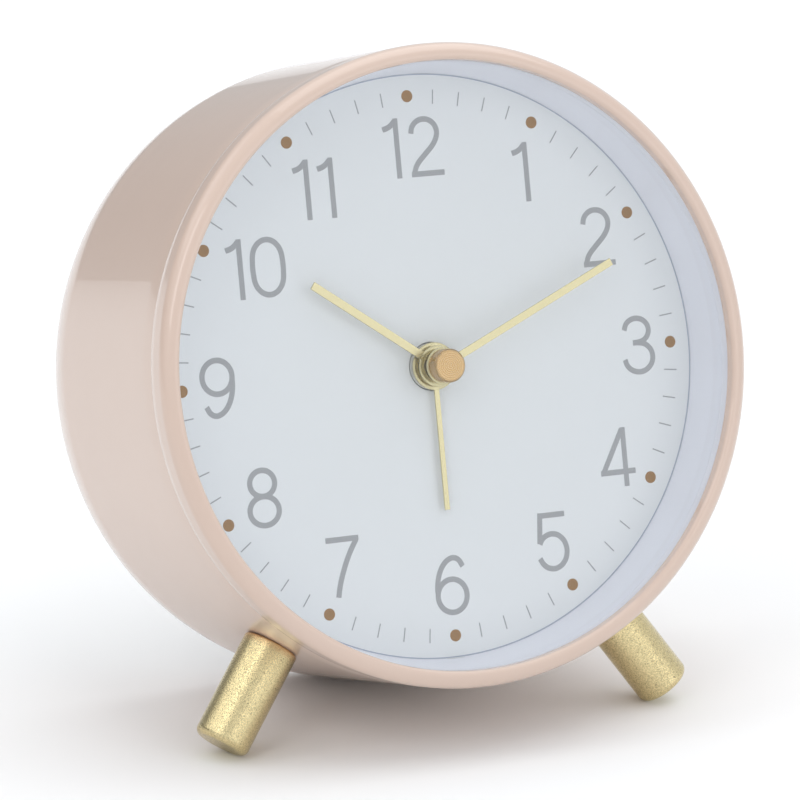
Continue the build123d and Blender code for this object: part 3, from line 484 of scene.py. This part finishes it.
class CLOCK_OT_case(bpy.types.Operator):
    """Spin the drum and the rolled rim that is pressed on its mouth"""

    bl_idname = "clock.case"
    bl_label = "Case"

    def execute(self, context):
        size = context.scene.clock_sizes
        paint = finish_for("case_paint")
        steps = size.turn_steps
        low, high = reach("case_drum")
        rim_low, rim_high = reach("bezel_ring")
        drum, wall, back = high.x, 0.8, low.z
        seam, groove_deep = high.z, 0.12
        groove = mm(size.groove)
        bead, front, skirt = rim_high.x, rim_high.z, rim_low.z
        round_off = mm(size.rim_rounding)
        crown, edge = mm(size.crown_rounding), mm(size.edge_rounding)
        crown_start = -26.6
        lean_in = radians(21.05)
        corner_w = crown_start - crown * tan(lean_in / 2)
        fall = corner_w - back
        corner_r = drum - fall * tan(lean_in)
        inside, inner_corner = drum - wall, wall * 1.1
        flange_width, flange_round, corner_spare = 1.3, 0.2, 0.15
        flange = corner_r - edge * tan((pi / 2 - lean_in) / 2) - flange_width
        waist = drum - groove_deep
        hollow = mm(size.hollow)
        shell = outline([
            (drum, seam - hollow / 2, hollow ** 2 / (2 * groove_deep)), (waist, seam, 0),
            (inside, seam, 0), (inside, corner_w + corner_spare, crown - wall),
            (corner_r - inner_corner, back + wall, edge - wall),
            (flange, back + wall, flange_round), (flange, back, flange_round),
            (corner_r, back, edge), (drum, corner_w, crown)])
        finished(turned(shell, steps), "enamel_drum", ["case_drum"], paint)
        lip, bed, lip_depth = 42.5, 43.3, 1.75
        seat = front - lip_depth
        inner_round = bead - lip - round_off
        swell = groove ** 2 / (2 * (bead - waist))
        rim = outline([
            (waist, seam, 0), (bead, seam + groove / 2, swell), (bead, front, round_off),
            (lip, front, inner_round), (lip, seat, 0), (bed, seat, 0), (bed, skirt, 0),
            (inside, skirt, 0), (inside, seam, 0)])
        finished(turned(rim, steps), "enamel_rim", ["bezel_ring"], paint)
        return {"FINISHED"}


class CLOCK_OT_legs(bpy.types.Operator):
    """Turn the two legs, each with a rounded foot and a tapped bore"""

    bl_idname = "clock.legs"
    bl_label = "Legs"

    def execute(self, context):
        size = context.scene.clock_sizes
        spread, set_back = radians(35.3), -5.4
        radius, bore, bore_end, bore_round = 4, 2, 53.9, 0.15
        top, fade, tip = 44.9, 1.3, 60.7
        for node, side in (("left_leg", -1), ("right_leg", 1)):
            out = Vector((side * sin(spread), -cos(spread), 0))
            across = Vector((0, 0, 1))
            place = (Matrix.Translation((0, 0, set_back))
                     @ Matrix((across, out.cross(across), out)).transposed().to_4x4())
            shape = outline([
                (0, bore_end, 0), (bore, bore_end, 0), (bore, top, bore_round),
                (radius, top, mm(size.leg_top_bevel)), (radius, top + fade, 0),
                (radius, tip, mm(size.leg_tip_rounding)), (0, tip, 0)], closed=False)
            leg = finished(turned(shape, size.small_steps, place), f"brass_{node}", [node],
                           finish_for("antique_brass"))
            # The band at the top of each leg, fading over its length, is partly wear and partly a painted
            # reflection of the blush drum.
            worn = leg.data.attributes.new("worn", "FLOAT", "POINT")
            for vertex, value in zip(leg.data.vertices, worn.data):
                along = (FROM_DIAL @ vertex.co).dot(out)
                value.value = max(0.0, 1 - abs(along - top) / fade)
        return {"FINISHED"}


class CLOCK_OT_dial(bpy.types.Operator):
    """Print the dial, and set its plastic ring and its lens over it"""

    bl_idname = "clock.dial"
    bl_label = "Dial"

    def execute(self, context):
        size = context.scene.clock_sizes
        repaint("dial_plate")
        low, high = reach("lens")
        clear, gap = 42.46, 0.03
        pane = outline([(0, low.z + gap, 0), (clear - gap, low.z + gap, 0),
                        (clear - gap, high.z, 0), (0, high.z, 0)], closed=False)
        ground = finish_of("ground_edge", moulding, list(colours().ring), 0.5)
        lens = finished(turned(pane, size.turn_steps), "flat_lens", ["lens"],
                        finish_for("clear_lens"))
        lens.data.materials.append(ground)
        for face in lens.data.polygons:
            face.material_index = int(abs(face.normal.dot(OUT)) < 0.5)
        edge = outline([(clear, low.z, 0), (high.x, low.z, 0), (high.x, high.z, 0),
                        (clear, high.z, 0)])
        finished(turned(edge, size.turn_steps), "lens_edge", ["lens"], ground,
                 stands_for=False)
        finished(copied("spacer_ring", 0.1), "dial_ring", ["spacer_ring"],
                 finish_for("white_plastic"), sharp=50)
        dots = bmesh.new()
        ticks = bmesh.new()
        height = mm(size.print_height)
        ring = mm(size.dot_ring)
        tick_inset = 0.15
        for minute in range(60):
            turn = Matrix.Rotation(-radians(6 * minute), 4, "Z")
            if minute % 5:
                bar = Matrix.Diagonal((mm(size.tick_width), mm(size.tick_length), height, 1))
                place = turn @ Matrix.Translation((0, ring - tick_inset, height / 2)) @ bar
                bmesh.ops.create_cube(ticks, size=1, matrix=place)
            else:
                place = turn @ Matrix.Translation((0, ring, height / 2))
                bmesh.ops.create_cone(
                    dots, cap_ends=True, segments=40, radius1=mm(size.dot_radius),
                    radius2=mm(size.dot_radius), depth=height, matrix=place)
        ink = finish_of("grey_ink", printed, list(colours().numerals), 0.6)
        bronze = finish_of("bronze_ink", printed, list(colours().dots), 0.5)
        # Painted shade: a thin grey-blue line at the foot of the ring, in place of the shadow between the ring and
        # the dial.
        rim, inner = 41.17, 41.02
        border = outline([(inner, 0, 0), (rim, 0, 0), (rim, height, 0), (inner, height, 0)])
        finished(turned(border, size.turn_steps), "ring_foot_shade_line", ["dial_plate"],
                 finish_of("ring_foot_shade_paint", printed, list(colours().border), 0.6),
                 stands_for=False)
        finished(dots, "hour_dots", ["dial_plate"], bronze, stands_for=False)
        finished(ticks, "minute_ticks", ["dial_plate"], ink, stands_for=False, smooth=False)
        finished(numeral_shape(size), "hour_numerals", ["dial_plate"], ink,
                 stands_for=False, sharp=20)
        return {"FINISHED"}


def bow(middle, width, height, start, end, steps=8):
    """Points along part of an oval, from one direction to another in degrees."""
    turns = [radians(start + (end - start) * step / steps) for step in range(steps + 1)]
    return [(middle[0] + width * cos(turn), middle[1] + height * sin(turn)) for turn in turns]


def numeral_strokes():
    """Centre lines of the figures in millimetres about the middle of each, as open strokes."""
    tall, top, foot = 4.225, 3.835, -3.835
    hook = bow((-0.1, 1.9), 2.0, top - 1.9, 180, -8)
    six = (bow((0, -1.5), 2.25, 2.335, 180, 540, 16),
           bow((0.6, -0.9), 2.85, 4.735, 180, 90, 8) + [(1.35, 3.5), (1.95, 2.5)])
    return {
        "0": (bow((0, 1.1), 2.26, top - 1.1, 0, 180) + bow((0, -1.1), 2.26, top - 1.1, 180, 360)
              + [(2.26, 1.1)],),
        "1": ([(0.8, tall), (0.8, -tall)], [(-1.25, 2.75), (-0.4, 2.98), (0.25, 3.4), (0.6, 3.8)]),
        "2": (hook + [(1.3, 0.35), (-0.2, -1.15), (-1.6, -2.6), (-2.1, foot)],
              [(-2.49, foot), (2.6, foot)]),
        "3": (bow((-0.1, 2.1), 1.95, top - 2.1, 175, -90),
              bow((-0.05, -1.75), 2.25, 2.1, 90, -175, 10), [(-0.8, 0.36), (0.3, 0.36)]),
        "4": ([(1.15, tall), (1.15, -tall)], [(1.0, 4.0), (-2.45, -2.1)],
              [(-2.85, -2.1), (2.7, -2.1)]),
        "5": ([(-1.85, top), (2.3, top)], [(-1.55, tall), (-1.95, -0.1)],
              [(-1.95, -0.2)] + bow((0.0, -1.35), 2.25, 2.48, 135, -160, 10)),
        "6": six,
        "7": ([(-2.55, top), (2.5, top)],
              [(2.2, 3.75), (0.85, 1.6), (-0.35, -1.0), (-1.0, -2.9), (-1.3, -tall)]),
        "8": (bow((0, 2.02), 1.88, 1.82, 0, 360, 14), bow((0, -1.82), 2.2, 2.02, 0, 360, 14)),
        "9": tuple([(-x, -y) for x, y in line] for line in six),
    }


FIGURES = {
    12: (0.1, 30.9), 1: (16.8, 26.1), 2: (27.9, 16.0), 3: (32.9, 0.0), 4: (28.0, -15.7),
    5: (16.4, -26.6), 6: (0.1, -31.0), 7: (-16.1, -26.6), 8: (-27.4, -15.8),
    9: (-32.7, 0.0), 10: (-25.6, 16.0), 11: (-15.4, 26.2),
}
SPACING = {"10": (-2.9, 2.05), "11": (-1.9, 1.87), "12": (-3.1, 2.1)}


def numeral_shape(size):
    """The hour numerals: strokes swept with a flat profile and made one mesh."""
    width, height = mm(size.stroke), mm(size.print_height)
    drawn_height = 8.45
    scale = mm(size.numeral_height) / drawn_height
    flat = bpy.data.curves.new("pen", "CURVE")
    nib = flat.splines.new("POLY")
    nib.points.add(3)
    for point, (x, y) in zip(nib.points, ((-1, -1), (1, -1), (1, 1), (-1, 1))):
        point.co = (x * width / 2, y * height / 2, 0, 1)
    nib.use_cyclic_u = True
    pen = bpy.data.objects.new("pen", flat)
    line = bpy.data.curves.new("figures", "CURVE")
    line.dimensions = "3D"
    line.twist_mode = "Z_UP"
    line.bevel_mode = "OBJECT"
    line.bevel_object = pen
    line.use_fill_caps = True
    line.resolution_u = 4
    strokes = numeral_strokes()
    for hour, (x, y) in FIGURES.items():
        text = str(hour)
        for figure, shift in zip(text, SPACING.get(text, (0.0,))):
            for number, points in enumerate(strokes[figure]):
                lift = height * (0.5 + 0.1 * number)
                closed = hypot(points[0][0] - points[-1][0], points[0][1] - points[-1][1]) < 1e-3
                if closed:
                    points = points[:-1]
                spline = line.splines.new("BEZIER")
                spline.bezier_points.add(len(points) - 1)
                spline.use_cyclic_u = closed
                for point, (px, py) in zip(spline.bezier_points, points):
                    point.co = (x + (px + shift) * scale, y + py * scale, lift)
                    point.handle_left_type = point.handle_right_type = (
                        "AUTO" if len(points) > 2 else "VECTOR")
    figures = bpy.data.objects.new("figures", line)
    for temporary in (pen, figures):
        bpy.context.scene.collection.objects.link(temporary)
    bpy.context.view_layer.update()
    evaluated = figures.evaluated_get(bpy.context.evaluated_depsgraph_get())
    mesh = bpy.data.meshes.new_from_object(evaluated)
    shape = bmesh.new()
    shape.from_mesh(mesh)
    bmesh.ops.remove_doubles(shape, verts=shape.verts, dist=1e-4)
    bmesh.ops.recalc_face_normals(shape, faces=shape.faces)
    for temporary in (pen, figures):
        bpy.data.objects.remove(temporary)
    bpy.data.meshes.remove(mesh)
    return shape


class CLOCK_OT_hands(bpy.types.Operator):
    """Bevel the three hands and turn the cap that covers their arbor"""

    bl_idname = "clock.hands"
    bl_label = "Hands"

    def execute(self, context):
        size = context.scene.clock_sizes
        for node in ("alarm_hand", "hour_hand", "minute_hand"):
            finished(copied(node, mm(size.hand_bevel)), f"gold_{node}", [node],
                     finish_for("pale_gold"), sharp=25)
        low, high = reach("centre_cap")
        radius, bevel, arbor, arbor_depth = high.x, 0.25, 0.9, 1.3
        socket = low.z + arbor_depth
        cap = outline([
            (0, socket, 0), (arbor, socket, 0), (arbor, low.z, 0), (radius, low.z, 0),
            (radius, high.z - bevel, 0), (radius - bevel, high.z, 0), (0, high.z, 0)],
            closed=False)
        finished(turned(cap, size.small_steps), "turned_cap", ["centre_cap"],
                 finish_for("bright_brass"))
        return {"FINISHED"}


class CLOCK_OT_back(bpy.types.Operator):
    """Round the edges of the moulded back, its door, knobs, switch and screws"""

    bl_idname = "clock.back"
    bl_label = "Back"

    def execute(self, context):
        size = context.scene.clock_sizes
        softened = {
            "back_cover": size.moulding_round, "movement_housing": size.moulding_round,
            "battery_door": size.moulding_round / 2, "time_set_knob": size.moulding_round / 3,
            "alarm_knob": size.moulding_round / 3, "alarm_switch": size.moulding_round / 2,
            "cover_screws": size.moulding_round / 3,
        }
        for node, rounding in softened.items():
            finished(copied(node, mm(rounding)), f"soft_{node}", [node],
                     finish_for(SLOT[node]))
        return {"FINISHED"}


class CLOCK_OT_works(bpy.types.Operator):
    """Give every hidden piece of the movement the finish of its slot"""

    bl_idname = "clock.works"
    bl_label = "Works"

    def execute(self, context):
        for node, piece in frame["nodes"].items():
            if not piece.hide_render:
                repaint(node)
        return {"FINISHED"}


# ------------------------------------------------------------------ stage
class CLOCK_OT_stage(bpy.types.Operator):
    """Lay a pale floor, hang soft lights and set the camera"""

    bl_idname = "clock.stage"
    bl_label = "Stage"

    def execute(self, context):
        scene = context.scene
        floor = bmesh.new()
        bmesh.ops.create_grid(floor, x_segments=1, y_segments=1, size=3.0)
        mesh = bpy.data.meshes.new("floor")
        floor.to_mesh(mesh)
        floor.free()
        ground = bpy.data.objects.new("floor", mesh)
        scene.collection.objects.link(ground)
        pale = Finish("pale_floor")
        principled(pale, Base_Color=(0.9, 0.9, 0.9), Roughness=0.9, IOR=1.2)
        mesh.materials.append(pale.material)

        scene.world = studio(bpy.data.worlds.new("studio"))
        scene.view_settings.view_transform = "Standard"

        centre = (CAD_BOX[0] + CAD_BOX[1]) / 2
        panel(centre, offset=(-1.0, -0.75, 0.9), spread=(0.5, 0.7), watts=2.4)
        panel(centre, offset=(-1.1, 0.35, 1.3), spread=(1.2, 1.0), watts=3.2)
        panel(centre, offset=(0.62, -1.3, 0.42), spread=(0.9, 0.7), watts=1.3)
        panel(centre, offset=(0.4, 0.1, 1.5), spread=(1.6, 1.6), watts=9.5)
        take_view(scene)
        return {"FINISHED"}


def studio(world):
    """A bright room that is dim low down, behind the clock and to its left."""
    world.use_nodes = True
    tree = world.node_tree
    sky = tree.nodes["Background"]
    sky.inputs["Color"].default_value = (0.94, 0.97, 1.0, 1)
    direction = tree.nodes.new("ShaderNodeTexCoord")
    behind = tree.nodes.new("ShaderNodeVectorMath")
    behind.operation = "DOT_PRODUCT"
    behind.inputs[1].default_value = (-0.5, 0.7, -0.5)
    fade = tree.nodes.new("ShaderNodeMapRange")
    fade.interpolation_type = "SMOOTHSTEP"
    for socket, value in (("From Min", 0.1), ("From Max", 0.75), ("To Min", 0.88), ("To Max", 0.28)):
        fade.inputs[socket].default_value = value
    tree.links.new(direction.outputs["Generated"], behind.inputs[0])
    tree.links.new(behind.outputs["Value"], fade.inputs["Value"])
    tree.links.new(fade.outputs["Result"], sky.inputs["Strength"])
    return world


def panel(aim, offset, spread, watts):
    """A rectangular soft light that looks at the clock, offset from it in metres."""
    lamp = bpy.data.lights.new("soft_panel", "AREA")
    lamp.shape = "RECTANGLE"
    lamp.size, lamp.size_y = spread
    lamp.energy = watts
    holder = bpy.data.objects.new("soft_panel", lamp)
    holder.location = aim + Vector(offset)
    holder.rotation_mode = "QUATERNION"
    holder.rotation_quaternion = (-Vector(offset)).to_track_quat("-Z", "Y")
    bpy.context.scene.collection.objects.link(holder)


def take_view(scene):
    """Camera to the reader's left of the clock and a little above it."""
    azimuth, elevation, roll = radians(25.82), radians(16.21), radians(1.67)
    distance = 0.7432
    ahead = Vector((sin(azimuth) * cos(elevation), cos(azimuth) * cos(elevation),
                    -sin(elevation)))
    level = Vector((cos(azimuth), -sin(azimuth), 0))
    raised = level.cross(ahead)
    right = level * cos(roll) + raised * sin(roll)
    upward = right.cross(ahead)
    aim = DIAL @ Vector((-5.29, -4.27, 0))
    camera = bpy.data.cameras.new("camera")
    camera.lens = 238.35
    camera.sensor_width = 36
    camera.clip_start, camera.clip_end = 0.01, 20
    holder = bpy.data.objects.new("camera", camera)
    turn = Matrix((right, upward, -ahead)).transposed().to_4x4()
    holder.matrix_world = Matrix.Translation(aim - ahead * distance) @ turn
    scene.collection.objects.link(holder)
    scene.camera = holder


STEPS = (CLOCK_OT_case, CLOCK_OT_legs, CLOCK_OT_dial, CLOCK_OT_hands, CLOCK_OT_back,
         CLOCK_OT_works, CLOCK_OT_stage)


class CLOCK_PT_pieces(bpy.types.Panel):
    """Lists what builds the clock, with its sizes and colours."""

    bl_idname = "CLOCK_PT_pieces"
    bl_label = "Bedside Alarm Clock"
    bl_space_type = "VIEW_3D"
    bl_region_type = "UI"
    bl_category = "Clock"

    def draw(self, context):
        for step in STEPS:
            self.layout.operator(step.bl_idname)
        for group in (context.scene.clock_sizes, context.scene.clock_colours):
            box = self.layout.box()
            for name in group.__annotations__:
                box.prop(group, name)


CLASSES = (ClockSizes, ClockColours, *STEPS, CLOCK_PT_pieces)


def register():
    """Add the clock's classes, and its sizes and colours to the scene."""
    for item in CLASSES:
        bpy.utils.register_class(item)
    bpy.types.Scene.clock_sizes = PointerProperty(type=ClockSizes)
    bpy.types.Scene.clock_colours = PointerProperty(type=ClockColours)


def unregister():
    """Take them away again."""
    del bpy.types.Scene.clock_sizes
    del bpy.types.Scene.clock_colours
    for item in reversed(CLASSES):
        bpy.utils.unregister_class(item)


def main():
    """Build every piece and the stage."""
    register()
    for step in STEPS:
        group, name = step.bl_idname.split(".")
        getattr(getattr(bpy.ops, group), name)()


if __name__ == "__main__":
    main()
